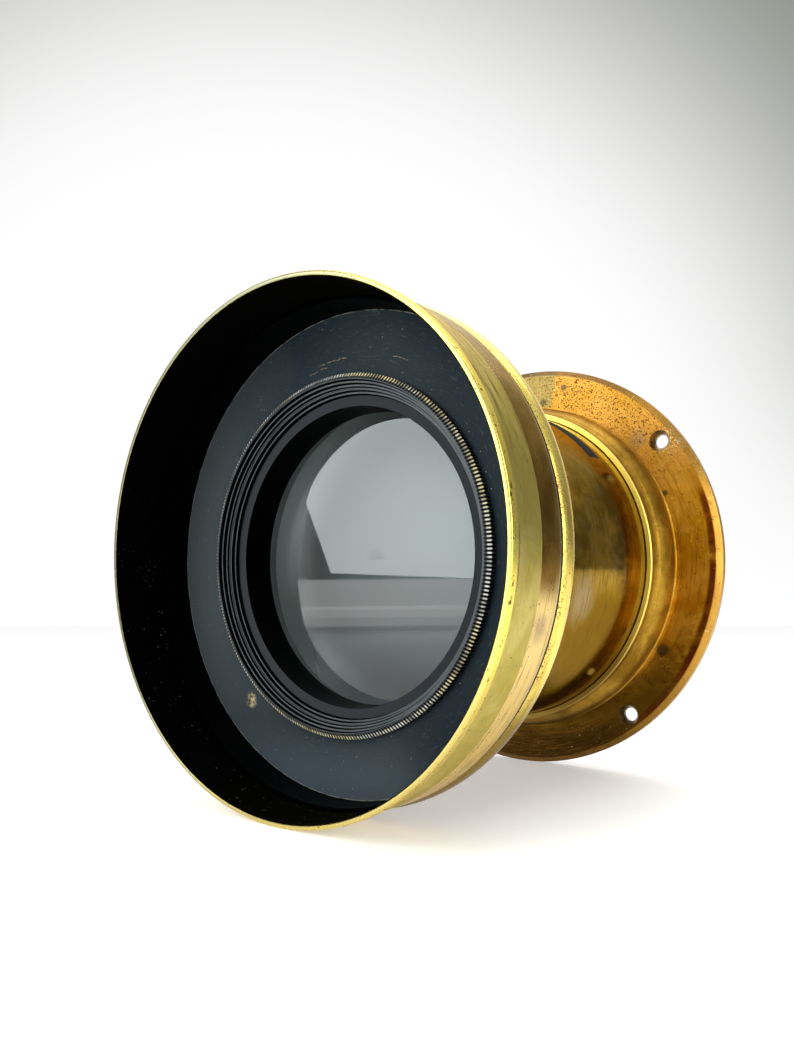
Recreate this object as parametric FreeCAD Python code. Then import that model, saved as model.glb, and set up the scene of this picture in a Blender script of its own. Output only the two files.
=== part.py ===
import FreeCAD, Part
import math
import os

# Antique brass enlarging lens of the Petzval kind: a flanged barrel with a slot for loose stops,
# a front cell with a wide rim that carries a push-on hood, and a rear cell inside the flange.
# Millimetres. The optical axis lies along Y, the front faces -Y, +Z is up, with the slot on top.
# The origin is the centre of the flange's rear seat. "Front" distances run from that seat
# towards the front of the lens, so a point at distance d lies at y = -d.

# --- Driving dimensions -------------------------------------------------------------------
FIT = 0.05                      # radial clearance of every threaded or sliding fit

FLANGE_RADIUS = 57.0
FLANGE_THICKNESS = 2.8
FLANGE_BEVEL = 1.5
FLANGE_BEVEL_HEIGHT = 1.2
COLLAR_HEIGHT = 14.3
COLLAR_FOOT_RADIUS = 45.6
COLLAR_ROLL_RADIUS = 44.2       # where the convex roll ends and the cove begins
COLLAR_ROLL_FRONT = 10.2
COLLAR_RING_RADIUS = 43.4       # thin ring at the collar's front
COLLAR_RING_LENGTH = 1.9
SCREW_CIRCLE_RADIUS = 52.1
SCREW_COUNT = 4
SCREW_HOLE_RADIUS = 1.8
COUNTERSINK_RADIUS = 2.7
COUNTERSINK_DEPTH = 1.6
SCREW_FIRST_ANGLE = 38.0

THREAD_RADIUS = 42.0            # barrel thread in the flange
THREAD_FRONT = 12.8
REGISTER_RADIUS = 41.0          # plain end that centres the lens in its board
BARREL_REAR_RADIUS = 41.9       # stout rear end, just in front of the thread
BARREL_RADIUS = 40.3
BARREL_BORE_RADIUS = 38.0
BARREL_REAR = -4.0
BARREL_FRONT = 79.4
TAPER_REAR = 15.5               # the outside narrows in one long S curve between these two
TAPER_FRONT = 44.0
GUIDE_LAND_RADIUS = 37.4        # narrow land in the bore that the stop guides rest on
GUIDE_LAND_LENGTH = 3.2

SLOT_REAR = 21.4
SLOT_WIDTH = 5.0
SLOT_FLOOR_HEIGHT = 25.8        # height above the axis where the slot's ends are cut
GUIDE_THICKNESS = 1.2
GUIDE_APERTURE_RADIUS = 28.0
STOP_CHANNEL_HALF_WIDTH = 29.0

CELL_WALL_RADIUS = BARREL_BORE_RADIUS - FIT
CELL_SHOULDER_THICKNESS = 6.5
CELL_FLANGE_REAR = 79.5
CELL_FLANGE_FRONT = 82.5
FLOOR_PLATE_THICKNESS = 0.8
SPIGOT_FRONT = 90.5
SPIGOT_RADIUS = 54.3
SPIGOT_WALL = 0.7
BEAD_RADIUS = 55.4
BEAD_FRONT = 84.6

HOOD_REAR = 85.8
HOOD_FRONT = 104.0
HOOD_RADIUS = 54.95
HOOD_LIP_RADIUS = 55.5
HOOD_LIP_LENGTH = 2.2

RING_RADIUS = 39.9              # tips of the milled edge
RING_FRONT = 85.5
RING_EDGE_CHAMFER = 1.1
RING_EDGE_CHAMFER_HEIGHT = 0.7
RING_THREAD_RADIUS = 36.9
RING_SKIRT_REAR = 72.7          # the skirt bears on the flint's flat face
RING_TOOTH_COUNT = 310
RING_TOOTH_DEPTH = 0.35
RING_GROOVE_COUNT = 5
RING_GROOVE_DEPTH = 0.35
RING_CONE_RADIUS = 35.7         # where the grooved steps end and the flat inner band begins
RING_CONE_FRONT = 81.2
THROAT_RADIUS = 33.5
THROAT_FRONT = 80.9

FRONT_GLASS_RADIUS = 35.0
FRONT_CLEAR_RADIUS = 32.6
FRONT_FACE = 72.65              # the flint comes first, with its flat side outwards
FLINT_THICKNESS = 4.0
CEMENT_CURVE = 140.0
CEMENT_GAP = 0.05               # filled by the balsam that joins the front pair
CROWN_THICKNESS = 13.5
CROWN_BACK_CURVE = 90.0
CEMENT_VERTEX = FRONT_FACE - FLINT_THICKNESS
CROWN_FRONT_VERTEX = CEMENT_VERTEX - CEMENT_GAP
FRONT_BACK_VERTEX = CROWN_FRONT_VERTEX - CROWN_THICKNESS

REAR_GLASS_RADIUS = 32.5
REAR_CLEAR_RADIUS = 30.5
REAR_VERTEX = 15.5
REAR_FLINT_FRONT_CURVE = 200.0
REAR_FLINT_BACK_CURVE = 75.0
REAR_FLINT_THICKNESS = 2.5
REAR_AIR_GAP = 2.5
REAR_CROWN_FRONT_CURVE = 85.0
REAR_CROWN_BACK_CURVE = 250.0
REAR_CROWN_THICKNESS = 11.0
REAR_RING_RADIUS = 34.0
REAR_RING_REAR = -6.2
REAR_RIM_RADIUS = 40.3
REAR_RIM_LENGTH = 3.0
SPANNER_SLOT_WIDTH = 3.0
SPANNER_SLOT_DEPTH = 1.6

OVERSHOOT = 1.0                 # how far a cutting tool runs past what it cuts


# --- Turning helpers ----------------------------------------------------------------------
def at(radius, front):
    """Point of a turned outline: distance from the axis, distance in front of the seat."""
    return FreeCAD.Vector(radius, -front, 0)


def turned(outline):
    """Solid of revolution about the optical axis.

    Each entry is a corner (radius, front), or an arc (radius, front, radius, front) that ends
    at its first point and passes through its second.
    """
    edges = []
    previous = at(*outline[-1][:2])
    for entry in outline:
        corner = at(*entry[:2])
        if len(entry) == 4:
            edges.append(Part.Arc(previous, at(*entry[2:]), corner).toShape())
        else:
            edges.append(Part.LineSegment(previous, corner).toShape())
        previous = corner
    face = Part.Face(Part.Wire(edges))
    return face.revolve(FreeCAD.Vector(0, 0, 0), FreeCAD.Vector(0, 1, 0), 360)


def sag(curve, radius):
    """Depth of a spherical surface at a distance from the axis."""
    return curve - math.sqrt(curve * curve - radius * radius)


def dome(vertex, curve, radius, bulge):
    """Arc entry from the axis out to radius; bulge is 1 for convex to the front, -1 to the rear."""
    middle = radius / 2
    end = vertex - bulge * sag(curve, radius)
    return (radius, end, middle, vertex - bulge * sag(curve, middle))


def dome_back(vertex, curve, radius, bulge):
    """Arc entry from radius in to the axis."""
    middle = radius / 2
    return (0, vertex, middle, vertex - bulge * sag(curve, middle))


def block(x_range, front_range, z_range):
    """Box between two x values, two front distances and two heights."""
    low = FreeCAD.Vector(x_range[0], -front_range[1], z_range[0])
    size_x = x_range[1] - x_range[0]
    size_y = front_range[1] - front_range[0]
    size_z = z_range[1] - z_range[0]
    return Part.makeBox(size_x, size_y, size_z, low)


# --- Flange and barrel --------------------------------------------------------------------
def mounting_flange():
    bore = THREAD_RADIUS + FIT
    foot_lip = 0.35
    foot_lip_front = FLANGE_THICKNESS + 1.0
    roll_rear = foot_lip_front + 0.4
    cove_rear = COLLAR_ROLL_FRONT + 0.3
    ring_rear = COLLAR_HEIGHT - COLLAR_RING_LENGTH
    edge = 0.25
    shape = turned([
        (bore, 0),
        (FLANGE_RADIUS, 0),
        (FLANGE_RADIUS, FLANGE_THICKNESS - FLANGE_BEVEL_HEIGHT),
        (FLANGE_RADIUS - FLANGE_BEVEL, FLANGE_THICKNESS),
        # narrow lip at the foot, then the convex roll, the cove and the thin front ring
        (COLLAR_FOOT_RADIUS + foot_lip, FLANGE_THICKNESS),
        (COLLAR_FOOT_RADIUS + foot_lip, foot_lip_front),
        (COLLAR_FOOT_RADIUS, roll_rear),
        (COLLAR_ROLL_RADIUS, COLLAR_ROLL_FRONT, COLLAR_FOOT_RADIUS - 0.05, 7.4),
        (COLLAR_ROLL_RADIUS - 0.35, cove_rear),
        (COLLAR_RING_RADIUS - edge, ring_rear - 0.3, COLLAR_RING_RADIUS, 11.2),
        (COLLAR_RING_RADIUS, ring_rear),
        (COLLAR_RING_RADIUS, COLLAR_HEIGHT - edge),
        (COLLAR_RING_RADIUS - edge, COLLAR_HEIGHT),
        (bore, COLLAR_HEIGHT),
    ])
    towards_front = FreeCAD.Vector(0, -1, 0)
    for index in range(SCREW_COUNT):
        angle = math.radians(SCREW_FIRST_ANGLE + index * 360 / SCREW_COUNT)
        x = SCREW_CIRCLE_RADIUS * math.cos(angle)
        z = SCREW_CIRCLE_RADIUS * math.sin(angle)
        hole = Part.makeCylinder(
            SCREW_HOLE_RADIUS, FLANGE_THICKNESS + 2 * OVERSHOOT,
            FreeCAD.Vector(x, OVERSHOOT, z), towards_front)
        sink = Part.makeCone(
            SCREW_HOLE_RADIUS, COUNTERSINK_RADIUS, COUNTERSINK_DEPTH,
            FreeCAD.Vector(x, COUNTERSINK_DEPTH - FLANGE_THICKNESS, z), towards_front)
        shape = shape.cut(hole).cut(sink)
    return shape


def barrel_tube():
    land_front = SLOT_REAR - GUIDE_THICKNESS
    land_rear = land_front - GUIDE_LAND_LENGTH
    bevel = 0.4
    drop = BARREL_REAR_RADIUS - BARREL_RADIUS
    taper = TAPER_FRONT - TAPER_REAR
    tube = turned([
        (BARREL_BORE_RADIUS, BARREL_REAR),
        (REGISTER_RADIUS - bevel, BARREL_REAR),
        (REGISTER_RADIUS, BARREL_REAR + bevel),
        (REGISTER_RADIUS, 0),
        (THREAD_RADIUS, 0),
        (THREAD_RADIUS, THREAD_FRONT - bevel),
        (BARREL_REAR_RADIUS, THREAD_FRONT),
        (BARREL_REAR_RADIUS, TAPER_REAR),
        # the S curve: a convex arc, then a concave one of the same size
        (BARREL_RADIUS + drop / 2, TAPER_REAR + taper / 2,
         BARREL_REAR_RADIUS - drop / 8, TAPER_REAR + taper / 4),
        (BARREL_RADIUS, TAPER_FRONT,
         BARREL_RADIUS + drop / 8, TAPER_FRONT - taper / 4),
        (BARREL_RADIUS, BARREL_FRONT),
        (BARREL_BORE_RADIUS, BARREL_FRONT),
        (BARREL_BORE_RADIUS, land_front),
        (GUIDE_LAND_RADIUS, land_front),
        (GUIDE_LAND_RADIUS, land_rear),
        (BARREL_BORE_RADIUS, land_rear),
    ])
    reach = 2 * BARREL_RADIUS
    slot = block((-reach, reach), (SLOT_REAR, SLOT_REAR + SLOT_WIDTH), (SLOT_FLOOR_HEIGHT, reach))
    return tube.cut(slot)


def slot_guide(rear):
    outer = BARREL_BORE_RADIUS - FIT
    bevel = 0.5
    return turned([
        (GUIDE_APERTURE_RADIUS + bevel, rear),
        (outer, rear),
        (outer, rear + GUIDE_THICKNESS),
        (GUIDE_APERTURE_RADIUS + bevel, rear + GUIDE_THICKNESS),
        (GUIDE_APERTURE_RADIUS, rear + GUIDE_THICKNESS / 2),
    ])


def stop_guide_spacer():
    """Horseshoe between the guides: it centres a loose stop and is open to the slot above."""
    outer = BARREL_BORE_RADIUS - FIT
    front = SLOT_REAR + SLOT_WIDTH
    disc = turned([(0, SLOT_REAR), (outer, SLOT_REAR), (outer, front), (0, front)])
    cut_range = (SLOT_REAR - OVERSHOOT, front + OVERSHOOT)
    arm_height = SLOT_FLOOR_HEIGHT - 1.5
    bed = Part.makeCylinder(
        STOP_CHANNEL_HALF_WIDTH, SLOT_WIDTH + 2 * OVERSHOOT,
        FreeCAD.Vector(0, OVERSHOOT - SLOT_REAR, 0), FreeCAD.Vector(0, -1, 0))
    channel = block(
        (-STOP_CHANNEL_HALF_WIDTH, STOP_CHANNEL_HALF_WIDTH), cut_range, (0, outer + OVERSHOOT))
    above_ends = block((-outer, outer), cut_range, (arm_height, outer + OVERSHOOT))
    return disc.cut(bed.fuse(channel)).cut(above_ends)


# --- Front cell and hood ------------------------------------------------------------------
def front_cell():
    spigot_bore = SPIGOT_RADIUS - SPIGOT_WALL
    glass_bore = FRONT_GLASS_RADIUS + FIT
    thread_bore = RING_THREAD_RADIUS + FIT
    thread_end = RING_SKIRT_REAR - 0.15
    shoulder = FRONT_BACK_VERTEX + sag(CROWN_BACK_CURVE, FRONT_CLEAR_RADIUS) - FIT
    cell_rear = shoulder - CELL_SHOULDER_THICKNESS
    cell_bevel = 0.6
    bead_rear = CELL_FLANGE_REAR + 0.3
    stop_radius = SPIGOT_RADIUS + 0.25
    stop_front = HOOD_REAR - FIT
    spigot_bevel = 0.3
    return turned([
        (FRONT_CLEAR_RADIUS, cell_rear),
        (CELL_WALL_RADIUS - cell_bevel, cell_rear),
        (CELL_WALL_RADIUS, cell_rear + cell_bevel),
        (CELL_WALL_RADIUS, CELL_FLANGE_REAR),
        (BEAD_RADIUS - 1.5, CELL_FLANGE_REAR),
        (BEAD_RADIUS - 1.2, bead_rear),
        (BEAD_RADIUS - 0.8, BEAD_FRONT, BEAD_RADIUS, (bead_rear + BEAD_FRONT) / 2),
        (stop_radius, BEAD_FRONT),
        (stop_radius, stop_front),
        (SPIGOT_RADIUS, stop_front),
        (SPIGOT_RADIUS, SPIGOT_FRONT - spigot_bevel),
        (SPIGOT_RADIUS - spigot_bevel, SPIGOT_FRONT),
        (spigot_bore, SPIGOT_FRONT),
        (spigot_bore, CELL_FLANGE_FRONT),
        (thread_bore, CELL_FLANGE_FRONT),
        (thread_bore, thread_end),
        (glass_bore, thread_end),
        (glass_bore, shoulder),
        (FRONT_CLEAR_RADIUS, shoulder),
    ])


def front_floor_plate():
    edge_gap = 0.1
    outer = SPIGOT_RADIUS - SPIGOT_WALL - edge_gap
    inner = RING_THREAD_RADIUS + 0.6
    front = CELL_FLANGE_FRONT + FLOOR_PLATE_THICKNESS
    chamfer = 0.15
    return turned([
        (inner, CELL_FLANGE_FRONT),
        (outer, CELL_FLANGE_FRONT),
        (outer, front - chamfer),
        (outer - chamfer, front),
        (inner, front),
    ])


def hood_tube():
    inner = SPIGOT_RADIUS + FIT
    lip_rear = HOOD_FRONT - HOOD_LIP_LENGTH
    lip_round = 0.5
    round_middle = 0.3 * lip_round
    edge = 0.15
    mouth_bevel = 0.3
    return turned([
        (inner, HOOD_REAR),
        (HOOD_RADIUS - edge, HOOD_REAR),
        (HOOD_RADIUS, HOOD_REAR + edge),
        (HOOD_RADIUS, lip_rear - 0.2),
        (HOOD_LIP_RADIUS, lip_rear + 0.3, HOOD_RADIUS + 0.15, lip_rear),
        (HOOD_LIP_RADIUS, HOOD_FRONT - lip_round),
        (HOOD_LIP_RADIUS - lip_round, HOOD_FRONT,
         HOOD_LIP_RADIUS - round_middle, HOOD_FRONT - round_middle),
        (inner + mouth_bevel, HOOD_FRONT),
        (inner, HOOD_FRONT - mouth_bevel),
    ])


def milled_blank(profile, depth, count):
    """Solid with count fine V teeth, whose tips follow the profile's (radius, front) corners."""
    sections = []
    for radius, front in profile:
        local_depth = depth * radius / RING_RADIUS
        corners = []
        for index in range(2 * count):
            angle = math.pi * index / count
            reach = radius - local_depth * (index % 2)
            corners.append(FreeCAD.Vector(reach * math.cos(angle), -front, reach * math.sin(angle)))
        corners.append(corners[0])
        sections.append(Part.makePolygon(corners))
    return Part.makeLoft(sections, True, True)


def front_retaining_ring():
    head_rear = CELL_FLANGE_FRONT + FLOOR_PLATE_THICKNESS + FIT
    rear = RING_SKIRT_REAR
    land_radius = RING_RADIUS - RING_EDGE_CHAMFER
    step_out = (land_radius - RING_CONE_RADIUS) / RING_GROOVE_COUNT
    step_back = (RING_FRONT - RING_CONE_FRONT) / RING_GROOVE_COUNT
    groove_width = 0.4 * step_out
    # the outside is left oversize here: the milled blank gives the edge its teeth and chamfer
    blank_radius = RING_RADIUS + OVERSHOOT
    outline = [
        (THROAT_RADIUS, rear),
        (RING_THREAD_RADIUS, rear),
        (RING_THREAD_RADIUS, head_rear),
        (blank_radius, head_rear),
        (blank_radius, RING_FRONT),
    ]
    for index in range(RING_GROOVE_COUNT):
        radius = land_radius - index * step_out
        front = RING_FRONT - index * step_back
        outline.append((radius - step_out + groove_width, front))
        outline.append((radius - step_out + groove_width / 2, front - step_back - RING_GROOVE_DEPTH))
        outline.append((radius - step_out, front - step_back))
    outline.append((THROAT_RADIUS, THROAT_FRONT))
    edge_slope = RING_EDGE_CHAMFER / RING_EDGE_CHAMFER_HEIGHT
    blank = milled_blank([
        (RING_RADIUS, rear - OVERSHOOT),
        (RING_RADIUS, RING_FRONT - RING_EDGE_CHAMFER_HEIGHT),
        (land_radius - edge_slope * OVERSHOOT, RING_FRONT + OVERSHOOT),
    ], RING_TOOTH_DEPTH, RING_TOOTH_COUNT)
    return turned(outline).common(blank)


def front_flint_element():
    radius = FRONT_GLASS_RADIUS
    return turned([
        (0, FRONT_FACE),
        (radius, FRONT_FACE),
        (radius, CEMENT_VERTEX - sag(CEMENT_CURVE, radius)),
        dome_back(CEMENT_VERTEX, CEMENT_CURVE, radius, 1),
    ])


def front_crown_element():
    radius = FRONT_GLASS_RADIUS
    return turned([
        (0, CROWN_FRONT_VERTEX),
        dome(CROWN_FRONT_VERTEX, CEMENT_CURVE, radius, 1),
        (radius, FRONT_BACK_VERTEX + sag(CROWN_BACK_CURVE, radius)),
        dome_back(FRONT_BACK_VERTEX, CROWN_BACK_CURVE, radius, -1),
    ])


# --- Rear cell ----------------------------------------------------------------------------
FLINT_BACK_VERTEX = REAR_VERTEX - REAR_FLINT_THICKNESS
CROWN_VERTEX = FLINT_BACK_VERTEX - REAR_AIR_GAP
CROWN_BACK_VERTEX = CROWN_VERTEX - REAR_CROWN_THICKNESS
FLINT_EDGE_REAR = FLINT_BACK_VERTEX - sag(REAR_FLINT_BACK_CURVE, REAR_GLASS_RADIUS)
RING_SEAT = CROWN_BACK_VERTEX + sag(REAR_CROWN_BACK_CURVE, REAR_CLEAR_RADIUS) - FIT


def rear_cell():
    glass_bore = REAR_GLASS_RADIUS + FIT
    ring_bore = REAR_RING_RADIUS + FIT
    ring_bore_front = RING_SEAT + 0.4
    shoulder = REAR_VERTEX - sag(REAR_FLINT_FRONT_CURVE, REAR_CLEAR_RADIUS) + FIT
    cell_front = shoulder + 1.6
    rim_front = BARREL_REAR - FIT
    rim_rear = rim_front - REAR_RIM_LENGTH
    bevel = 0.6
    return turned([
        (ring_bore, rim_rear),
        (REAR_RIM_RADIUS - bevel, rim_rear),
        (REAR_RIM_RADIUS, rim_rear + bevel),
        (REAR_RIM_RADIUS, rim_front),
        (CELL_WALL_RADIUS, rim_front),
        (CELL_WALL_RADIUS, cell_front - bevel),
        (CELL_WALL_RADIUS - bevel, cell_front),
        (REAR_CLEAR_RADIUS, cell_front),
        (REAR_CLEAR_RADIUS, shoulder),
        (glass_bore, shoulder),
        (glass_bore, ring_bore_front),
        (ring_bore, ring_bore_front),
    ])


def rear_flint_element():
    radius = REAR_GLASS_RADIUS
    return turned([
        (0, REAR_VERTEX),
        dome(REAR_VERTEX, REAR_FLINT_FRONT_CURVE, radius, 1),
        (radius, FLINT_EDGE_REAR),
        dome_back(FLINT_BACK_VERTEX, REAR_FLINT_BACK_CURVE, radius, 1),
    ])


def rear_spacer_ring():
    """Plain washer: the flint's rim rests on its outer edge and the crown on its inner edge."""
    inner = REAR_CLEAR_RADIUS + 0.5
    crown_contact = CROWN_VERTEX - sag(REAR_CROWN_FRONT_CURVE, inner)
    return turned([
        (inner, crown_contact),
        (REAR_GLASS_RADIUS, crown_contact),
        (REAR_GLASS_RADIUS, FLINT_EDGE_REAR),
        (inner, FLINT_EDGE_REAR),
    ])


def rear_crown_element():
    radius = REAR_GLASS_RADIUS
    return turned([
        (0, CROWN_VERTEX),
        dome(CROWN_VERTEX, REAR_CROWN_FRONT_CURVE, radius, 1),
        (radius, CROWN_BACK_VERTEX + sag(REAR_CROWN_BACK_CURVE, radius)),
        dome_back(CROWN_BACK_VERTEX, REAR_CROWN_BACK_CURVE, radius, -1),
    ])


def rear_retaining_ring():
    lip_thickness = 1.0
    mouth_radius = REAR_CLEAR_RADIUS + 1.2
    shape = turned([
        (mouth_radius, REAR_RING_REAR),
        (REAR_RING_RADIUS, REAR_RING_REAR),
        (REAR_RING_RADIUS, RING_SEAT),
        (REAR_CLEAR_RADIUS, RING_SEAT),
        (REAR_CLEAR_RADIUS, RING_SEAT - lip_thickness),
    ])
    reach = REAR_RING_RADIUS + OVERSHOOT
    spanner_slot = block(
        (-reach, reach), (REAR_RING_REAR - OVERSHOOT, REAR_RING_REAR + SPANNER_SLOT_DEPTH),
        (-SPANNER_SLOT_WIDTH / 2, SPANNER_SLOT_WIDTH / 2))
    return shape.cut(spanner_slot)


# --- Export -------------------------------------------------------------------------------
SUB_PARTS = {
    "mounting_flange": mounting_flange,
    "barrel_tube": barrel_tube,
    "slot_guide_rear": lambda: slot_guide(SLOT_REAR - GUIDE_THICKNESS),
    "stop_guide_spacer": stop_guide_spacer,
    "slot_guide_front": lambda: slot_guide(SLOT_REAR + SLOT_WIDTH),
    "front_cell": front_cell,
    "front_floor_plate": front_floor_plate,
    "hood_tube": hood_tube,
    "front_retaining_ring": front_retaining_ring,
    "front_flint_element": front_flint_element,
    "front_crown_element": front_crown_element,
    "rear_cell": rear_cell,
    "rear_flint_element": rear_flint_element,
    "rear_spacer_ring": rear_spacer_ring,
    "rear_crown_element": rear_crown_element,
    "rear_retaining_ring": rear_retaining_ring,
}

os.makedirs("parts", exist_ok=True)
for name, make in SUB_PARTS.items():
    solid = make()
    solid.exportStep("parts/" + name + ".step")
    box = solid.BoundBox
    print(name, "valid", solid.isValid(), "solids", len(solid.Solids), "cm3 %.2f" % (solid.Volume / 1000),
          "front %.2f to %.2f" % (-box.YMax, -box.YMin), "radius %.2f" % box.XMax)
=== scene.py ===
import math
import bpy
from mathutils import Matrix, Vector


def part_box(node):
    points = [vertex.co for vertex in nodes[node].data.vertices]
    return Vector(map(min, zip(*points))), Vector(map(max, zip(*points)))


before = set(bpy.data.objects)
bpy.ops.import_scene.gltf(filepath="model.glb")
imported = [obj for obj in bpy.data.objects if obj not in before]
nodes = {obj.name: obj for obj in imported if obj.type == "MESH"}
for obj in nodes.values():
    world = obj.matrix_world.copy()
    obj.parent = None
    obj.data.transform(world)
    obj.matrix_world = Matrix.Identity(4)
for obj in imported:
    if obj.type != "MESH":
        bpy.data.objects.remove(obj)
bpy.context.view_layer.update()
scene = bpy.context.scene

# The optical axis lies along Y, the front faces -Y and +Z is up. "Front" distances are
# millimetres in front of the flange's rear seat, so a point at front distance f lies at y = -f.
MM = 0.001


def farthest_front(node):
    return -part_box(node)[0].y / MM


def farthest_back(node):
    return -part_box(node)[1].y / MM


def outer_radius(node):
    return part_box(node)[1].x / MM


FLANGE_RADIUS = outer_radius("mounting_flange")
FLANGE_FACE = 2.8                # front of the flange's plate
FLANGE_BEVEL_RADIUS = FLANGE_RADIUS - 1.5
COLLAR_FRONT = farthest_front("mounting_flange")
COLLAR_EDGE_RADIUS = 46.5        # the flange is flat outside this
COLLAR_BORE_RADIUS = 42.1
SCREW_CIRCLE_RADIUS = 52.1
SCREW_FIRST_ANGLE = 38.0
SINK_RADIUS = 2.7
BARREL_RADIUS = 40.3
BARREL_BORE_RADIUS = 38.0
SLOT_REAR = farthest_back("stop_guide_spacer")
SLOT_FRONT = farthest_front("stop_guide_spacer")
CELL_BACK = 79.5
CELL_BORE_RADIUS = 37.4          # the cell is black inside this
SPIGOT_RADIUS = 54.3
BEAD_FRONT = 84.6
PLATE_FRONT = farthest_front("front_floor_plate")
PLATE_RADIUS = outer_radius("front_floor_plate")
HOOD_REAR = farthest_back("hood_tube")
HOOD_FRONT = farthest_front("hood_tube")
HOOD_RADIUS = outer_radius("hood_tube")
HOOD_BORE_RADIUS = 54.5
HOOD_LIP_REAR = HOOD_FRONT - 2.2
HOOD_BAND_FRONT = 93.0           # where the brown lacquer ends and the olive band begins
RING_RADIUS = outer_radius("front_retaining_ring")
RING_FRONT = farthest_front("front_retaining_ring")
RING_LAND_RADIUS = 38.8
RING_CHAMFER_SLOPE = 1.1 / 0.7
RING_CONE_RADIUS = 35.7
RING_GROOVE_COUNT = 5
THROAT_RADIUS = 33.5
GLASS_FRONT = farthest_front("front_flint_element")


# --- Camera -------------------------------------------------------------------------------
# Measured in flange radii from the centre of the flange's seat.
CAMERA_PLACE = (2.200, -3.932, -0.185)
CAMERA_AZIMUTH = 38.97
CAMERA_ELEVATION = -0.75
CAMERA_ROLL = -0.61
CAMERA_LENS = 28.96
CAMERA_SHIFT = (0.0145, 0.0820)


def make_camera():
    data = bpy.data.cameras.new("camera")
    data.lens = CAMERA_LENS
    data.sensor_width = 36.0
    data.shift_x, data.shift_y = CAMERA_SHIFT
    data.clip_start = 0.01
    data.clip_end = 20.0
    camera = bpy.data.objects.new("camera", data)
    scene.collection.objects.link(camera)
    azimuth = math.radians(CAMERA_AZIMUTH)
    elevation = math.radians(CAMERA_ELEVATION)
    forward = Vector((-math.sin(azimuth) * math.cos(elevation),
                      math.cos(azimuth) * math.cos(elevation),
                      math.sin(elevation)))
    turn = forward.to_track_quat("-Z", "Y").to_matrix().to_4x4()
    roll = Matrix.Rotation(math.radians(CAMERA_ROLL), 4, "Z")
    place = Matrix.Translation(Vector(CAMERA_PLACE) * FLANGE_RADIUS * MM)
    camera.matrix_world = place @ turn @ roll
    scene.camera = camera


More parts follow.
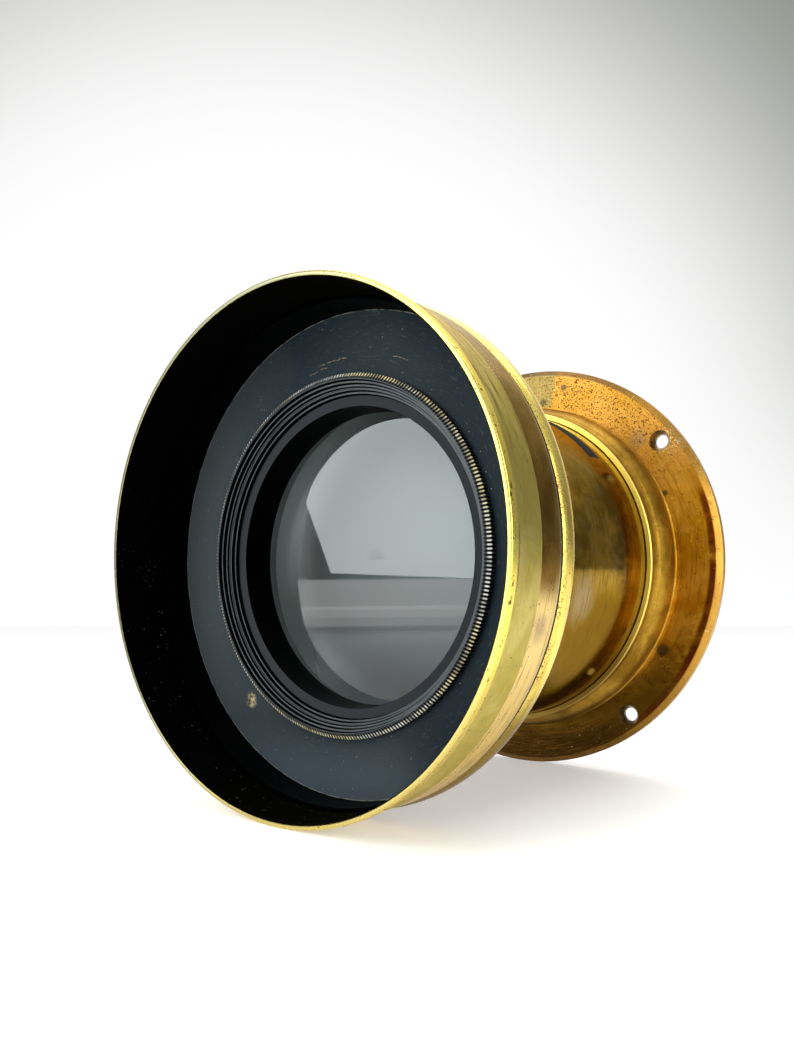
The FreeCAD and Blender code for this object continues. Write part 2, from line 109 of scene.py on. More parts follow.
# --- Node building ------------------------------------------------------------------------
class Paint:
    """One procedural material, built with short calls. Values are numbers or node sockets."""

    def __init__(self, name):
        self.material = bpy.data.materials.new(name)
        self.material.use_nodes = True
        self.tree = self.material.node_tree
        self.tree.nodes.clear()
        place = self.node("ShaderNodeTexCoord").outputs["Object"]
        scaled = self.node("ShaderNodeVectorMath", operation="SCALE")
        self.put(scaled.inputs[0], place)
        self.put(scaled.inputs["Scale"], 1 / MM)
        self.place = scaled.outputs[0]
        self.x, y, self.z = self.split(self.place)
        self.front = self.math("MULTIPLY", y, -1.0)
        squares = self.math("ADD", self.math("MULTIPLY", self.x, self.x),
                            self.math("MULTIPLY", self.z, self.z))
        self.radius = self.math("SQRT", squares)
        self.angle = self.math("MULTIPLY", self.math("ARCTAN2", self.z, self.x), 180 / math.pi)

    def node(self, kind, **settings):
        node = self.tree.nodes.new(kind)
        for key, value in settings.items():
            setattr(node, key, value)
        return node

    def put(self, socket, value):
        if isinstance(value, bpy.types.NodeSocket):
            self.tree.links.new(value, socket)
        elif isinstance(value, tuple) and len(value) == 3 and socket.type == "RGBA":
            socket.default_value = (*value, 1.0)
        else:
            socket.default_value = value

    def math(self, operation, first, second=0.0, third=0.0):
        node = self.node("ShaderNodeMath", operation=operation)
        for socket, value in zip(node.inputs, (first, second, third)):
            self.put(socket, value)
        return node.outputs[0]

    def most(self, *values):
        """Largest of several masks."""
        result = values[0]
        for value in values[1:]:
            result = self.math("MAXIMUM", result, value)
        return result

    def split(self, vector):
        node = self.node("ShaderNodeSeparateXYZ")
        self.put(node.inputs[0], vector)
        return node.outputs

    def join(self, x, y, z):
        node = self.node("ShaderNodeCombineXYZ")
        for socket, value in zip(node.inputs, (x, y, z)):
            self.put(socket, value)
        return node.outputs[0]

    def noise(self, vector, scale, detail=3.0, roughness=0.5, distortion=0.0):
        node = self.node("ShaderNodeTexNoise")
        self.put(node.inputs["Vector"], vector)
        self.put(node.inputs["Scale"], scale)
        self.put(node.inputs["Detail"], detail)
        self.put(node.inputs["Roughness"], roughness)
        self.put(node.inputs["Distortion"], distortion)
        return node.outputs[0]

    def span(self, value, low, high, start=0.0, end=1.0):
        """Smooth step: start at low, end at high."""
        node = self.node("ShaderNodeMapRange", interpolation_type="SMOOTHSTEP")
        for socket, item in zip(node.inputs, (value, low, high, start, end)):
            self.put(socket, item)
        return node.outputs[0]

    def band(self, value, low, high, soft):
        """1 between low and high, 0 outside, with soft edges."""
        rise = self.span(value, low - soft, low + soft)
        fall = self.span(value, high - soft, high + soft, 1.0, 0.0)
        return self.math("MULTIPLY", rise, fall)

    def choose(self, mask, low, high):
        """Number that is low where the mask is 0 and high where it is 1."""
        return self.span(mask, 0.0, 1.0, low, high)

    def product(self, *values):
        result = values[0]
        for value in values[1:]:
            result = self.math("MULTIPLY", result, value)
        return result

    def mix(self, factor, first, second):
        """First colour where the factor is 0 and second where it is 1."""
        node = self.node("ShaderNodeMix", data_type="RGBA")
        self.put(node.inputs["Factor"], factor)
        self.put(node.inputs[6], first)
        self.put(node.inputs[7], second)
        return node.outputs[2]

    def dots(self, scale, size, share):
        """Scattered specks: 1 inside a speck. Share is the part of the cells that have one."""
        cells = self.node("ShaderNodeTexVoronoi")
        self.put(cells.inputs["Vector"], self.place)
        self.put(cells.inputs["Scale"], scale)
        chosen = self.math("LESS_THAN", self.split(cells.outputs["Color"])[0], share)
        return self.product(chosen, self.span(cells.outputs["Distance"], 0.6 * size, size, 1.0, 0.0))

    def turned(self, across, around=0.5):
        """Coordinates for marks left by turning: fine along the axis or radius, long around."""
        scaled = self.math("DIVIDE", 10 * around, self.radius)
        cross = self.math("MULTIPLY", self.math("ADD", self.front, self.radius), across)
        return self.join(self.math("MULTIPLY", self.x, scaled), cross,
                         self.math("MULTIPLY", self.z, scaled))

    def bump(self, height, distance):
        """Bump from a height of 0 to 1 that stands for this many millimetres."""
        node = self.node("ShaderNodeBump")
        self.put(node.inputs["Height"], height)
        self.put(node.inputs["Distance"], distance * MM)
        self.put(node.inputs["Strength"], 1.0)
        return node.outputs[0]

    def near(self, angle, front, radius, reach, soft):
        """1 close to one point of the surface, given by angle, front distance and radius."""
        centre = (radius * math.cos(math.radians(angle)), -front,
                  radius * math.sin(math.radians(angle)))
        node = self.node("ShaderNodeVectorMath", operation="DISTANCE")
        self.put(node.inputs[0], self.place)
        self.put(node.inputs[1], centre)
        ragged = self.math("MULTIPLY_ADD", self.noise(self.place, 0.35, 4.0), reach, node.outputs[1])
        return self.span(ragged, 1.5 * reach - soft, 1.5 * reach + soft, 1.0, 0.0)

    def arc_line(self, radius, angle, half_span):
        """Short thin scratch that follows a circle about the axis, with a ragged line."""
        ragged = self.math("MULTIPLY_ADD", self.noise(self.place, 0.6, 4.0), 1.4, -0.7)
        line = self.band(self.math("ADD", self.radius, ragged), radius - 0.05, radius + 0.05, 0.06)
        broken = self.span(self.noise(self.place, 1.2, 3.0), 0.42, 0.5)
        stretch = self.band(self.angle, angle - half_span, angle + half_span, 0.5)
        return self.product(line, broken, stretch)

    def sink(self, value, soft):
        """Value in each of the flange's four countersinks, and 0 outside."""
        turns = self.math("DIVIDE", self.math("SUBTRACT", self.angle, SCREW_FIRST_ANGLE), 90.0)
        offset = self.math("SUBTRACT", turns, self.math("ROUND", turns))
        across = self.product(offset, math.pi / 2, SCREW_CIRCLE_RADIUS)
        out = self.math("SUBTRACT", self.radius, SCREW_CIRCLE_RADIUS)
        squares = self.math("ADD", self.product(across, across), self.product(out, out))
        distance = self.math("SQRT", squares)
        return self.span(distance, SINK_RADIUS - 0.1, SINK_RADIUS + soft, value, 0.0)

    def finish(self, **inputs):
        """Connect the surface shader. Underscores in the names stand for spaces."""
        shader = self.node("ShaderNodeBsdfPrincipled")
        for name, value in inputs.items():
            self.put(shader.inputs[name.replace("_", " ")], value)
        output = self.node("ShaderNodeOutputMaterial")
        self.tree.links.new(shader.outputs[0], output.inputs[0])
        return self.material


def dress(material, *names):
    for name in names:
        mesh = nodes[name].data
        for index in range(len(mesh.materials)):
            mesh.materials[index] = material


# --- Brass --------------------------------------------------------------------------------
YELLOW_BRASS = (0.97, 0.77, 0.17)
OLIVE_BRASS = (0.54, 0.44, 0.09)
BROWN_LACQUER = (0.27, 0.15, 0.035)
AMBER_LACQUER = (0.39, 0.18, 0.02)
GOLD_LACQUER = (0.47, 0.22, 0.04)
TARNISH = (0.05, 0.032, 0.012)
BLACK = (0.0016, 0.0017, 0.0020)
GREY_BLOOM = (0.36, 0.27, 0.16)


def turned_brass(name):
    """Paint with the marks that every turned brass part shares."""
    p = Paint(name)
    p.streaks = p.noise(p.turned(1.6), 1.0, 5.0, 0.6)
    p.fine = p.noise(p.turned(9.0, 2.0), 1.0, 3.0, 0.6)
    p.cloud = p.noise(p.place, 0.10, 5.0, 0.6, 0.4)
    p.grit = p.noise(p.place, 1.1, 5.0, 0.75)
    return p


def hood_material():
    p = turned_brass("hood_brass")
    wobble = p.math("MULTIPLY_ADD", p.streaks, 0.5, -0.25)
    front = p.math("ADD", p.front, wobble)
    olive = p.mix(p.span(p.fine, 0.35, 0.68), (0.38, 0.31, 0.09), OLIVE_BRASS)
    olive = p.mix(p.span(p.cloud, 0.4, 0.7, 0.0, 0.5), olive, (0.74, 0.64, 0.26))
    brushed = p.product(p.span(p.streaks, 0.50, 0.62), p.span(p.z, 8.0, 25.0))
    olive = p.mix(p.product(brushed, 0.8), olive, (0.15, 0.115, 0.03))
    # high is 1 on the upper part of the hood. Below it the brown band is painted pale beige in streaks,
    # a painted reflection of the bright table, and the pale rear edge is painted stronger there too.
    high = p.span(p.z, -14.0, -4.0)
    brown = p.mix(p.span(p.cloud, 0.35, 0.65), (0.11, 0.05, 0.010), BROWN_LACQUER)
    painted_low_reflection = p.product(p.span(p.streaks, 0.26, 0.48), p.choose(high, 0.95, 0.0))
    brown = p.mix(painted_low_reflection, brown, (0.86, 0.64, 0.27))
    brown = p.mix(p.span(p.fine, 0.52, 0.72, 0.0, 0.15), brown, (0.45, 0.28, 0.08))
    pale_edge = p.product(p.span(p.front, HOOD_REAR, HOOD_REAR + 2.4, 1.0, 0.0),
                          p.span(p.streaks, 0.35, 0.6), p.choose(high, 1.0, 0.45))
    brown = p.mix(pale_edge, brown, (0.46, 0.33, 0.19))
    colour = p.mix(p.span(front, HOOD_BAND_FRONT - 0.12, HOOD_BAND_FRONT + 0.12), brown, olive)
    # Greyish streaks across the top of the hood: painted reflection.
    crown = p.product(p.span(p.z, 25.0, 42.0), p.span(p.streaks, 0.40, 0.6))
    colour = p.mix(crown, colour, (0.36, 0.26, 0.15))
    stain = p.near(-15.8, HOOD_BAND_FRONT - 2.7, HOOD_RADIUS, 2.6, 1.8)
    colour = p.mix(p.product(stain, 0.55), colour, (0.22, 0.15, 0.14))
    white = p.product(p.dots(2.2, 0.34, 0.35), p.near(35.0, HOOD_BAND_FRONT, HOOD_RADIUS, 2.6, 1.5))
    colour = p.mix(white, colour, (0.95, 0.93, 0.85))
    scratch = p.product(p.band(p.front, HOOD_LIP_REAR - 1.15, HOOD_LIP_REAR - 0.95, 0.1),
                        p.band(p.angle, -8.0, 2.5, 2.0))
    colour = p.mix(scratch, colour, (0.10, 0.08, 0.03))
    lip = p.span(p.front, HOOD_LIP_REAR + 0.1, HOOD_LIP_REAR + 0.5)
    # The lip is bright yellow brass, painted darker gold below: painted shade on its lower part.
    bright = p.mix(p.span(p.z, -34.0, -16.0), (0.70, 0.54, 0.16), YELLOW_BRASS)
    colour = p.mix(lip, colour, bright)
    worn = p.most(p.span(p.noise(p.place, 0.12), 0.42, 0.55), p.band(p.angle, -15.0, 5.0, 4.0))
    edge = p.band(p.front, HOOD_FRONT - 1.1, HOOD_FRONT - 0.3, 0.3)
    pits = p.product(p.most(p.dots(0.9, 0.42, 0.5), p.dots(2.0, 0.38, 0.3)), edge, worn)
    specks = p.product(p.dots(1.6, 0.36, 0.10), p.span(p.grit, 0.45, 0.6))
    pits = p.most(pits, specks)
    colour = p.mix(pits, colour, TARNISH)
    rear_edge = p.span(p.front, HOOD_REAR + 0.25, HOOD_REAR + 0.45, 1.0, 0.0)
    colour = p.mix(p.product(rear_edge, 0.8), colour, (0.74, 0.64, 0.42))
    rim = p.span(p.front, HOOD_FRONT - 0.12, HOOD_FRONT - 0.06)
    rim = p.product(rim, p.span(p.math("MULTIPLY_ADD", p.z, -0.5, p.x), -30.0, 40.0, 1.0, 0.1))
    colour = p.mix(rim, colour, (0.30, 0.30, 0.20))
    inside = p.span(p.radius, HOOD_BORE_RADIUS, HOOD_BORE_RADIUS + 0.06, 1.0, 0.0)
    dust = p.product(p.dots(0.75, 0.16, 0.55), p.span(p.z, -8.0, 6.0, 1.0, 0.12),
                     p.span(p.noise(p.place, 0.15), 0.4, 0.6))
    colour = p.mix(inside, colour, p.mix(dust, BLACK, (0.20, 0.20, 0.19)))
    band = p.span(front, HOOD_BAND_FRONT - 0.1, HOOD_BAND_FRONT + 0.1, 0.16, 0.34)
    gloss = p.choose(lip, band, 0.2)
    rough = p.math("MULTIPLY_ADD", p.noise(p.place, 0.8), 0.14, gloss)
    rough = p.math("MULTIPLY_ADD", inside, 0.4, rough)
    height = p.math("MULTIPLY_ADD", p.fine, 0.4, p.math("MULTIPLY", pits, -1.0))
    return p.finish(Base_Color=colour, Metallic=1.0, Roughness=rough, Specular_Tint=(0.94, 0.82, 0.55),
                    Normal=p.bump(height, 0.04))


def cell_material():
    p = turned_brass("cell_brass")
    brass = p.mix(p.span(p.streaks, 0.30, 0.60), (0.70, 0.48, 0.12), YELLOW_BRASS)
    specks = p.noise(p.place, 2.6, 4.0, 0.7)
    worn = p.product(p.span(p.front, BEAD_FRONT - 1.5, BEAD_FRONT - 0.5), p.span(specks, 0.54, 0.62))
    worn = p.product(worn, p.span(p.noise(p.place, 0.2), 0.38, 0.55))
    brass = p.mix(worn, brass, (0.24, 0.11, 0.03))
    pits = p.product(p.dots(2.2, 0.34, 0.12), p.span(p.noise(p.place, 0.15), 0.4, 0.55))
    brass = p.mix(pits, brass, TARNISH)
    # Darker towards the bottom of the cell and bead: painted shade.
    low = p.span(p.z, -36.0, -22.0, 1.0, 0.0)
    brass = p.mix(p.product(low, 0.85), brass, (0.16, 0.09, 0.02))
    groove = p.span(p.front, BEAD_FRONT - 0.08, BEAD_FRONT + 0.02)
    brass = p.mix(groove, brass, (0.07, 0.045, 0.018))
    floor = p.product(p.span(p.radius, SPIGOT_RADIUS - 0.05, SPIGOT_RADIUS, 1.0, 0.0),
                      p.span(p.front, CELL_BACK + 0.1, CELL_BACK + 0.2))
    inside = p.most(floor, p.span(p.radius, CELL_BORE_RADIUS, CELL_BORE_RADIUS + 0.1, 1.0, 0.0))
    colour = p.mix(inside, brass, BLACK)
    rough = p.math("MULTIPLY_ADD", p.noise(p.place, 1.0), 0.2, 0.16)
    rough = p.math("MULTIPLY_ADD", inside, 0.35, rough)
    height = p.math("MULTIPLY_ADD", p.fine, 0.3, p.product(p.most(pits, worn), -0.6))
    return p.finish(Base_Color=colour, Metallic=1.0, Roughness=rough, Normal=p.bump(height, 0.03))


def barrel_material():
    p = turned_brass("barrel_brass")
    patches = p.noise(p.place, 0.085, 6.0, 0.7, 0.15)
    amber = p.mix(p.span(patches, 0.40, 0.60), (0.19, 0.11, 0.022), (0.46, 0.28, 0.05))
    amber = p.mix(p.span(p.z, 14.0, 28.0, 0.0, 0.85), amber, (0.23, 0.17, 0.065))
    # Darker below the middle of the barrel, less so next to the cell: painted shade.
    low = p.product(p.span(p.z, -12.0, -2.0, 0.95, 0.0),
                    p.span(p.front, CELL_BACK - 7.5, CELL_BACK + 0.5, 1.0, 0.3))
    amber = p.mix(low, amber, (0.17, 0.085, 0.002))
    smudge = p.product(p.span(p.noise(p.place, 0.22, 3.0, 0.5), 0.50, 0.72, 0.0, 0.45),
                       p.span(p.z, -12.0, 0.0, 0.15, 1.0))
    beside_collar = p.span(p.front, COLLAR_FRONT + 3.2, COLLAR_FRONT + 6.2, 0.6, 0.0)
    rubbed = p.product(p.near(-14.0, 45.0, BARREL_RADIUS, 5.0, 4.0), 0.8)
    colour = p.mix(p.most(smudge, beside_collar, rubbed), amber, GREY_BLOOM)
    colour = p.mix(p.span(p.streaks, 0.50, 0.70, 0.0, 0.7), colour, (0.12, 0.06, 0.012))
    fine_dark = p.product(p.dots(1.2, 0.3, 0.2), p.span(p.grit, 0.45, 0.6))
    colour = p.mix(fine_dark, colour, TARNISH)
    walls = p.most(p.band(p.front, SLOT_REAR - 0.02, SLOT_REAR + 0.02, 0.01),
                   p.band(p.front, SLOT_FRONT - 0.02, SLOT_FRONT + 0.02, 0.01))
    colour = p.mix(walls, colour, (0.035, 0.036, 0.036))
    inside = p.span(p.radius, BARREL_BORE_RADIUS + 0.4, BARREL_BORE_RADIUS + 0.6, 1.0, 0.0)
    colour = p.mix(inside, colour, BLACK)
    dull = p.most(inside, walls)
    rough = p.math("MULTIPLY_ADD", p.noise(p.place, 0.5, 4.0), 0.12, 0.06)
    rough = p.math("MULTIPLY_ADD", dull, 0.4, rough)
    return p.finish(Base_Color=colour, Metallic=p.math("SUBTRACT", 1.0, walls), Roughness=rough,
                    Specular_Tint=(0.82, 0.68, 0.38), Coat_Weight=0.1, Coat_Roughness=0.08,
                    Normal=p.bump(p.noise(p.turned(6.0, 1.0), 1.0), 0.005))


def flange_material():
    p = turned_brass("flange_brass")
    gold = p.mix(p.span(p.cloud, 0.36, 0.64), AMBER_LACQUER, GOLD_LACQUER)
    # Painted light and shade: the colour changes with height, lighter across the middle, darker lower
    # down and nearly black at the bottom, where the hood's shadow falls.
    height = p.math("MULTIPLY_ADD", p.cloud, 16.0, p.math("ADD", p.z, -8.0))
    middle = p.mix(p.span(p.cloud, 0.4, 0.6), (0.62, 0.31, 0.012), (0.78, 0.43, 0.05))
    colour = p.mix(p.span(height, 8.0, 34.0), middle, gold)
    colour = p.mix(p.span(height, -38.0, -18.0, 1.0, 0.0), colour, (0.17, 0.09, 0.008))
    colour = p.mix(p.span(height, -50.0, -38.0, 1.0, 0.0), colour, (0.045, 0.022, 0.003))
    colour = p.mix(p.span(p.fine, 0.48, 0.72, 0.0, 0.5), colour, (0.25, 0.12, 0.02))
    colour = p.mix(p.span(p.streaks, 0.50, 0.66, 0.0, 0.45), colour, (0.24, 0.11, 0.015))
    plate = p.span(p.radius, COLLAR_EDGE_RADIUS - 0.2, COLLAR_EDGE_RADIUS + 0.3)
    # worn green corner, pitted stretch and the stains on the plate
    green = p.product(plate, p.span(p.angle, 77.9, 78.7), p.span(p.angle, 100.0, 130.0, 1.0, 0.0),
                      p.span(p.front, 0.5, 1.0), p.span(p.grit, 0.3, 0.6, 0.9, 0.6))
    colour = p.mix(green, colour, (0.17, 0.15, 0.055))
    zone = p.product(p.band(p.angle, 26.0, 82.0, 14.0), plate)
    zone = p.most(zone, p.product(p.span(p.noise(p.place, 0.16, 4.0, 0.6), 0.50, 0.62), 0.7))
    small = p.noise(p.place, 2.2, 4.0, 0.7)
    pits = p.product(p.span(p.grit, 0.55, 0.60), p.span(p.noise(p.place, 0.4), 0.42, 0.52))
    pits = p.product(zone, p.most(pits, p.span(small, 0.57, 0.63)))
    spots = p.most(p.near(81.5, FLANGE_FACE, 47.9, 0.9, 0.35),
                   p.near(74.9, FLANGE_FACE, 52.4, 0.8, 0.35),
                   p.near(-29.0, FLANGE_FACE, 47.6, 1.6, 0.6),
                   p.near(-27.0, FLANGE_FACE + 0.2, 44.5, 1.3, 0.6),
                   p.near(23.2, FLANGE_FACE, 46.3, 0.8, 0.4))
    colour = p.mix(p.product(spots, 0.85), colour, (0.07, 0.06, 0.03))
    smear = p.near(43.4, FLANGE_FACE, 48.4, 2.2, 1.6)
    colour = p.mix(p.product(smear, 0.45), colour, (0.15, 0.12, 0.08))
    colour = p.mix(pits, colour, (0.11, 0.055, 0.015))
    red = p.product(p.band(p.radius, FLANGE_BEVEL_RADIUS - 1.6, FLANGE_BEVEL_RADIUS + 0.3, 0.5),
                    p.band(p.angle, -50.0, 25.0, 8.0))
    red = p.product(red, p.span(p.noise(p.place, 0.11, 3.0), 0.40, 0.54, 0.35, 0.95))
    colour = p.mix(red, colour, (0.17, 0.035, 0.005))
    bevel = p.product(p.span(p.radius, FLANGE_BEVEL_RADIUS, FLANGE_BEVEL_RADIUS + 0.3),
                      p.span(p.grit, 0.3, 0.5, 1.0, 0.75), p.span(p.z, -48.0, -20.0, 0.3, 1.0))
    top_edge = p.span(p.z, 39.6, 49.4)
    colour = p.mix(bevel, colour, p.mix(top_edge, (0.50, 0.27, 0.05), (0.14, 0.08, 0.02)))
    # The collar takes its own colour, except at the bottom, where the flange's painted shade stays on
    # it.
    roll = p.product(p.span(p.front, FLANGE_FACE + 0.8, FLANGE_FACE + 1.4), p.span(p.z, -52.0, -36.0))
    rubbed = p.mix(p.span(p.cloud, 0.38, 0.60), (0.25, 0.13, 0.010), (0.46, 0.26, 0.030))
    rubbed = p.mix(p.span(p.grit, 0.52, 0.66, 0.0, 0.6), rubbed, (0.16, 0.08, 0.012))
    colour = p.mix(roll, colour, rubbed)
    face = p.product(p.span(p.front, COLLAR_FRONT - 0.7, COLLAR_FRONT - 0.4),
                     p.span(p.radius, COLLAR_BORE_RADIUS, COLLAR_BORE_RADIUS + 0.1))
    # Bright brass face, painted darker towards the bottom: painted shade.
    bright = p.mix(p.span(p.z, -30.0, -10.0), (0.42, 0.28, 0.06), YELLOW_BRASS)
    colour = p.mix(face, colour, bright)
    scratches = p.span(p.noise(p.turned(0.5, 3.0), 3.0, 2.0, 0.6), 0.72, 0.74, 0.0, 0.5)
    near_hole = p.near(36.0, FLANGE_FACE, 54.0, 3.2, 1.5)
    nicks = p.product(near_hole, p.span(p.noise(p.place, 1.6, 2.0, 0.5, 2.0), 0.58, 0.62))
    colour = p.mix(p.most(nicks, p.product(scratches, plate)), colour, (0.86, 0.76, 0.52))
    ring = p.product(plate, p.sink(0.5, 0.25))
    colour = p.mix(ring, colour, (0.13, 0.10, 0.045))
    rough = p.math("MULTIPLY_ADD", p.noise(p.place, 0.6, 4.0), 0.2, 0.2)
    rough = p.math("MULTIPLY_ADD", p.most(pits, roll), 0.15, rough)
    relief = p.math("MULTIPLY_ADD", p.fine, 0.3, p.math("MULTIPLY", pits, -1.0))
    return p.finish(Base_Color=colour, Metallic=1.0, Roughness=rough, Normal=p.bump(relief, 0.04))


# --- Black parts and glass ----------------------------------------------------------------
def plate_material():
    p = Paint("blackened_plate")
    marks = p.noise(p.turned(4.0, 0.8), 1.0, 5.0, 0.7)
    cloud = p.noise(p.place, 0.06, 3.0)
    colour = p.mix(p.span(cloud, 0.35, 0.65), (0.014, 0.022, 0.029), (0.022, 0.029, 0.034))
    # Painted light and shade: a paler painted sheen on the left and at the bottom, and a darker painted
    # shadow on the right.
    colour = p.mix(p.span(p.x, -50.0, -10.0, 0.8, 0.0), colour, (0.062, 0.070, 0.074))
    colour = p.mix(p.span(p.z, -50.0, -36.0, 0.8, 0.0), colour, (0.060, 0.075, 0.090))
    colour = p.mix(p.span(p.x, 12.0, 32.0, 0.0, 0.8), colour, (0.005, 0.011, 0.016))
    fibres = p.span(p.noise(p.turned(5.0, 2.2), 1.0, 2.0, 0.5), 0.62, 0.72, 0.0, 0.35)
    colour = p.mix(fibres, colour, (0.10, 0.11, 0.115))
    scratches = p.most(p.arc_line(43.6, 92.0, 5.0), p.arc_line(44.3, 67.0, 2.6),
                       p.arc_line(42.6, 98.0, 3.5))
    colour = p.mix(scratches, colour, (0.38, 0.26, 0.12))
    scuff = p.product(p.near(-131.5, PLATE_FRONT, 44.3, 1.5, 0.8),
                      p.span(p.noise(p.place, 1.3, 4.0, 0.7), 0.42, 0.6))
    colour = p.mix(scuff, colour, (0.55, 0.42, 0.20))
    edge = p.product(p.span(p.radius, PLATE_RADIUS - 0.4, PLATE_RADIUS - 0.2),
                     p.span(p.noise(p.place, 0.5, 3.0), 0.35, 0.6))
    colour = p.mix(edge, colour, (0.20, 0.19, 0.15))
    lint = p.dots(0.8, 0.10, 0.3)
    colour = p.mix(lint, colour, (0.28, 0.27, 0.24))
    rough = p.math("MULTIPLY_ADD", marks, 0.25, 0.3)
    return p.finish(Base_Color=colour, Roughness=rough, Specular_IOR_Level=0.08,
                    Normal=p.bump(marks, 0.03))


def ring_material():
    p = Paint("blackened_ring")
    marks = p.noise(p.turned(4.0, 0.8), 1.0, 5.0, 0.7)
    colour = p.mix(p.span(marks, 0.35, 0.65), (0.052, 0.057, 0.064), (0.100, 0.108, 0.116))
    inner = p.span(p.radius, RING_CONE_RADIUS, RING_CONE_RADIUS + 0.05, 1.0, 0.0)
    colour = p.mix(p.product(inner, 0.95), colour, (0.004, 0.006, 0.009))
    # black paint left in the grooves, and in the throat
    step = (RING_LAND_RADIUS - RING_CONE_RADIUS) / RING_GROOVE_COUNT
    place = p.math("DIVIDE", p.math("SUBTRACT", RING_LAND_RADIUS, p.radius), step)
    across = p.math("FRACT", place)
    groove = p.product(p.span(across, 0.58, 0.64),
                       p.span(p.radius, RING_CONE_RADIUS + 0.02, RING_CONE_RADIUS + 0.08),
                       p.span(p.radius, RING_LAND_RADIUS - 0.05, RING_LAND_RADIUS, 1.0, 0.0))
    throat = p.span(p.radius, THROAT_RADIUS + 0.02, THROAT_RADIUS + 0.06, 1.0, 0.0)
    dark = p.most(groove, throat)
    colour = p.mix(dark, colour, BLACK)
    # bare brass on the tips of the milled teeth, over the edge's chamfer too, partly lightened to near
    # white as painted glints
    reach = p.math("MINIMUM", RING_RADIUS,
                   p.math("MULTIPLY_ADD", p.math("SUBTRACT", RING_FRONT, p.front), RING_CHAMFER_SLOPE,
                          RING_LAND_RADIUS))
    depth = p.math("SUBTRACT", reach, p.radius)
    tips = p.product(p.span(depth, 0.10, 0.20, 1.0, 0.0),
                     p.span(p.radius, RING_LAND_RADIUS + 0.2, RING_LAND_RADIUS + 0.4),
                     p.span(p.front, RING_FRONT - 0.95, RING_FRONT - 0.75))
    wear = p.span(p.noise(p.place, 0.25, 4.0, 0.7), 0.40, 0.56, 0.35, 1.0)
    valley = p.product(p.span(p.radius, RING_LAND_RADIUS - 0.3, RING_LAND_RADIUS - 0.1),
                       p.span(depth, 0.08, 0.18))
    colour = p.mix(valley, colour, (0.006, 0.006, 0.006))
    bright = p.mix(p.span(p.noise(p.place, 0.1), 0.42, 0.6), (0.95, 0.80, 0.45), (0.95, 0.92, 0.85))
    colour = p.mix(p.product(tips, wear), colour, bright)
    rough = p.math("MULTIPLY_ADD", marks, 0.2, 0.22)
    rough = p.math("MULTIPLY_ADD", dark, 0.35, rough)
    return p.finish(Base_Color=colour, Metallic=dark, Roughness=rough, Specular_IOR_Level=0.18,
                    Normal=p.bump(marks, 0.02))


def black_material():
    p = Paint("black_lacquer")
    marks = p.noise(p.turned(3.0, 0.8), 1.0, 4.0, 0.6)
    colour = p.mix(p.span(marks, 0.3, 0.7), (0.004, 0.004, 0.005), (0.012, 0.012, 0.013))
    rough = p.math("MULTIPLY_ADD", marks, 0.3, 0.35)
    return p.finish(Base_Color=colour, Roughness=rough, Specular_IOR_Level=0.3,
                    Normal=p.bump(marks, 0.02))


GLASS_TINT = (0.60, 0.67, 0.66)


def glass_material(name, index, haze_start, haze):
    """Clear polished glass, with old haze on every surface behind one front distance."""
    p = Paint(name)
    smear = p.span(p.noise(p.place, 0.05, 4.0, 0.6), 0.3, 0.8, 0.0, 0.04)
    hazed = p.span(p.front, haze_start - 0.2, haze_start, 1.0, 0.0)
    rough = p.math("MULTIPLY_ADD", hazed, haze, smear)
    return p.finish(Base_Color=GLASS_TINT, Roughness=rough, Transmission_Weight=1.0, IOR=index)


# --- Stage --------------------------------------------------------------------------------
TABLE_HALF_SIZE = 3.0            # metres
PAPER_GLOW = 0.35                # lightens the shadows on the table
FLAG_LOW = (-1.6, -1.3)          # corners of the grey board on the table, in metres
FLAG_HIGH = (-0.1, -0.18)
FLAG_FADE = (550.0, 1100.0)      # front distances over which the board turns as white as the table
BACKDROP_AZIMUTH = 180 + CAMERA_AZIMUTH
ROOM_LIGHT = 0.25
BACKDROP_LIGHT = 0.8
CEILING_LIGHT = 0.45
CORNER_AZIMUTH = -135            # painted shade: the backdrop seen by the camera is greyer here and upwards
CORNER_TINT = (0.30, 0.31, 0.28, 1.0)
WHITE = (1.0, 1.0, 1.0, 1.0)
WINDOW_AIM = (-23.6, 31.5)       # azimuth and elevation
WINDOW_DISTANCE = 0.78
WINDOW_CORNERS = ((-42.9, 2.0), (9.8, -0.9), (10.8, 58.0), (-57.2, 36.4))
WINDOW_RADIANCE = 3.6
WINDOW_COLOUR = (0.93, 1.0, 1.0)
# name, azimuth, elevation, distance and size in metres, radiance
SOFTBOXES = (("card_high", -41.0, 0.1, 0.8, (0.5, 0.034), 0.5),
             ("card_middle", -41.0, -0.2, 0.8, (0.5, 0.044), 0.5),
             ("card_low", -41.0, -0.5, 0.8, (0.5, 0.054), 0.5),
             ("side_window", 72.0, 14.0, 1.0, (0.5, 0.7), 3.0),
             ("overhead", 180.0, 75.0, 0.9, (0.8, 0.8), 2.0))


def direction(azimuth, elevation):
    """Unit vector; azimuth is counted from the front (-Y) towards +X."""
    azimuth, elevation = math.radians(azimuth), math.radians(elevation)
    return Vector((math.sin(azimuth) * math.cos(elevation),
                   -math.cos(azimuth) * math.cos(elevation),
                   math.sin(elevation)))


def stage_panel(name, corners, material):
    """Flat four-cornered panel that isn't part of the lens."""
    mesh = bpy.data.meshes.new(name)
    mesh.from_pydata(corners, [], [(0, 1, 2, 3)])
    mesh.materials.append(material)
    panel = bpy.data.objects.new(name, mesh)
    scene.collection.objects.link(panel)
    return panel


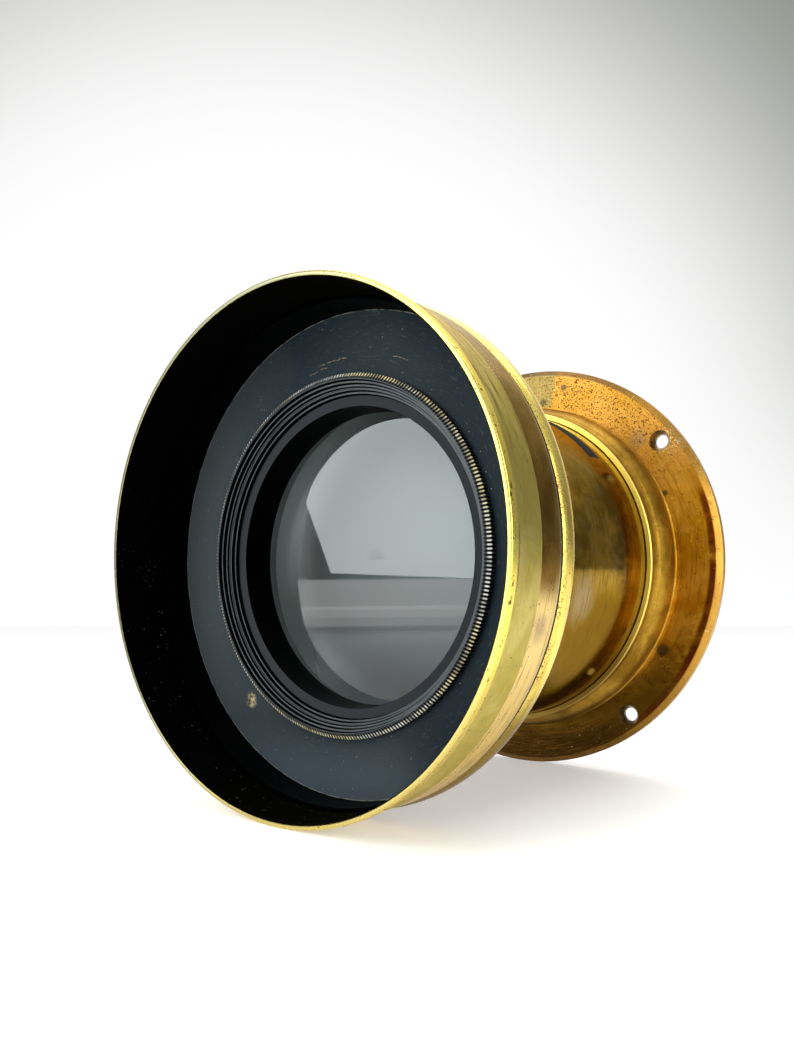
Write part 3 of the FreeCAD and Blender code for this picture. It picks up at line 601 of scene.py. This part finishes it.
def lay_sheet(name, low, high, lift, material):
    """Sheet between two corners, at a lift in millimetres above the table's plane.

    The flange's rim and the hood's lip both stand on that plane."""
    corners = [(low[0], low[1], 0), (high[0], low[1], 0), (high[0], high[1], 0), (low[0], high[1], 0)]
    sheet = stage_panel(name, corners, material)
    sheet.location = (0, 0, (lift - FLANGE_RADIUS) * MM)
    sheet.rotation_euler = (-math.atan2(FLANGE_RADIUS - HOOD_RADIUS, HOOD_FRONT), 0, 0)
    return sheet


def make_table():
    p = Paint("white_paper")
    grain = p.noise(p.place, 0.4, 3.0)
    colour = p.mix(grain, (0.84, 0.84, 0.84), (0.88, 0.88, 0.88))
    paper = p.finish(Base_Color=colour, Roughness=0.6, Emission_Color=WHITE,
                     Emission_Strength=PAPER_GLOW)
    low = (-TABLE_HALF_SIZE, -TABLE_HALF_SIZE)
    lay_sheet("table", low, (TABLE_HALF_SIZE, TABLE_HALF_SIZE), 0.0, paper)


def make_flag():
    """Grey board flat on the table in front, only seen as a darker reflection in the glass: painted
    shade standing for a dimmer, less lit stretch of table in front.
    """
    p = Paint("painted_shade_board")
    far = p.span(p.front, *FLAG_FADE)
    colour = p.mix(far, (0.42, 0.42, 0.42), (0.86, 0.86, 0.86))
    board = p.finish(Base_Color=colour, Roughness=0.6, Emission_Color=WHITE,
                     Emission_Strength=p.choose(far, 0.0, PAPER_GLOW))
    flag = lay_sheet("flag", FLAG_LOW, FLAG_HIGH, 1.0, board)
    flag.visible_camera = False
    flag.visible_diffuse = False
    flag.visible_shadow = False


def make_window():
    """Tall window in front, with its corners in given directions from the front glass."""
    centre = Vector((0, -GLASS_FRONT * MM, 0))
    aim = direction(*WINDOW_AIM)
    corners = []
    for azimuth, elevation in WINDOW_CORNERS:
        ray = direction(azimuth, elevation)
        corners.append(centre + ray * (WINDOW_DISTANCE / ray.dot(aim)))
    p = Paint("front_window")
    light = p.finish(Base_Color=(0.0, 0.0, 0.0), Specular_IOR_Level=0.0, Emission_Color=WINDOW_COLOUR,
                     Emission_Strength=WINDOW_RADIANCE)
    stage_panel("front_window", corners, light).visible_camera = False


def softbox(name, azimuth, elevation, distance, size, radiance):
    """Rectangular light that faces the lens. Radiance 1 is as bright as white paper."""
    light = bpy.data.lights.new(name, "AREA")
    light.shape = "RECTANGLE"
    light.size, light.size_y = size
    light.energy = radiance * math.pi * size[0] * size[1]
    lamp = bpy.data.objects.new(name, light)
    scene.collection.objects.link(lamp)
    aim = direction(azimuth, elevation)
    centre = Vector((0, -0.5 * HOOD_FRONT * MM, 0))
    turn = (-aim).to_track_quat("-Z", "Y").to_matrix().to_4x4()
    lamp.matrix_world = Matrix.Translation(centre + aim * distance) @ turn
    lamp.visible_camera = False


def make_world():
    """Dim room with a bright sweep behind the lens and a paler ceiling."""
    world = bpy.data.worlds.new("studio")
    scene.world = world
    world.use_nodes = True
    tree = world.node_tree

    def node(kind, **settings):
        made = tree.nodes.new(kind)
        for key, value in settings.items():
            setattr(made, key, value)
        return made

    def facing(azimuth, elevation, low, high, start, end):
        """Smooth change from start to end as the direction turns towards one place."""
        dot = node("ShaderNodeVectorMath", operation="DOT_PRODUCT")
        tree.links.new(look, dot.inputs[0])
        dot.inputs[1].default_value = direction(azimuth, elevation)
        step = node("ShaderNodeMapRange", interpolation_type="SMOOTHSTEP")
        tree.links.new(dot.outputs["Value"], step.inputs[0])
        for socket, value in zip(step.inputs[1:5], (low, high, start, end)):
            socket.default_value = value
        return step.outputs[0]

    def combine(operation, first, second):
        made = node("ShaderNodeMath", operation=operation)
        tree.links.new(first, made.inputs[0])
        tree.links.new(second, made.inputs[1])
        return made.outputs[0]

    look = node("ShaderNodeTexCoord").outputs["Generated"]
    sweep = facing(BACKDROP_AZIMUTH, 6, 0.45, 0.85, ROOM_LIGHT, ROOM_LIGHT + BACKDROP_LIGHT)
    shade = combine("ADD", sweep, facing(0, 90, 0.35, 0.95, 0.0, CEILING_LIGHT))
    background = tree.nodes["Background"]
    background.inputs[0].default_value = WHITE
    tree.links.new(shade, background.inputs[1])
    # The camera sees a white backdrop instead, with painted shade greying it towards one corner and
    # upwards.
    backdrop = node("ShaderNodeBackground")
    aside = facing(CORNER_AZIMUTH, 2, 0.72, 0.91, 1.0, 0.0)
    corner = combine("MULTIPLY", aside, facing(0, 90, -0.02, 0.26, 0.0, 1.0))
    tint = node("ShaderNodeMix", data_type="RGBA")
    tree.links.new(corner, tint.inputs["Factor"])
    tint.inputs[6].default_value = WHITE
    tint.inputs[7].default_value = CORNER_TINT
    tree.links.new(tint.outputs[2], backdrop.inputs[0])
    chosen = node("ShaderNodeMixShader")
    tree.links.new(node("ShaderNodeLightPath").outputs["Is Camera Ray"], chosen.inputs[0])
    tree.links.new(background.outputs[0], chosen.inputs[1])
    tree.links.new(backdrop.outputs[0], chosen.inputs[2])
    tree.links.new(chosen.outputs[0], tree.nodes["World Output"].inputs[0])


# --- Making -------------------------------------------------------------------------------
make_camera()
make_table()
make_world()
make_window()
make_flag()
for box in SOFTBOXES:
    softbox(*box)
dress(hood_material(), "hood_tube")
dress(cell_material(), "front_cell", "rear_cell")
dress(barrel_material(), "barrel_tube")
dress(flange_material(), "mounting_flange")
dress(plate_material(), "front_floor_plate")
dress(ring_material(), "front_retaining_ring")
dress(black_material(), "slot_guide_rear", "slot_guide_front", "stop_guide_spacer", "rear_spacer_ring",
      "rear_retaining_ring")
dress(glass_material("front_flint_glass", 1.85, GLASS_FRONT - 2.25, 0.30), "front_flint_element")
dress(glass_material("front_crown_glass", 1.61, GLASS_FRONT, 0.20), "front_crown_element")
dress(glass_material("rear_glass", 1.55, GLASS_FRONT, 0.10), "rear_crown_element", "rear_flint_element")
scene.view_settings.view_transform = "Standard"
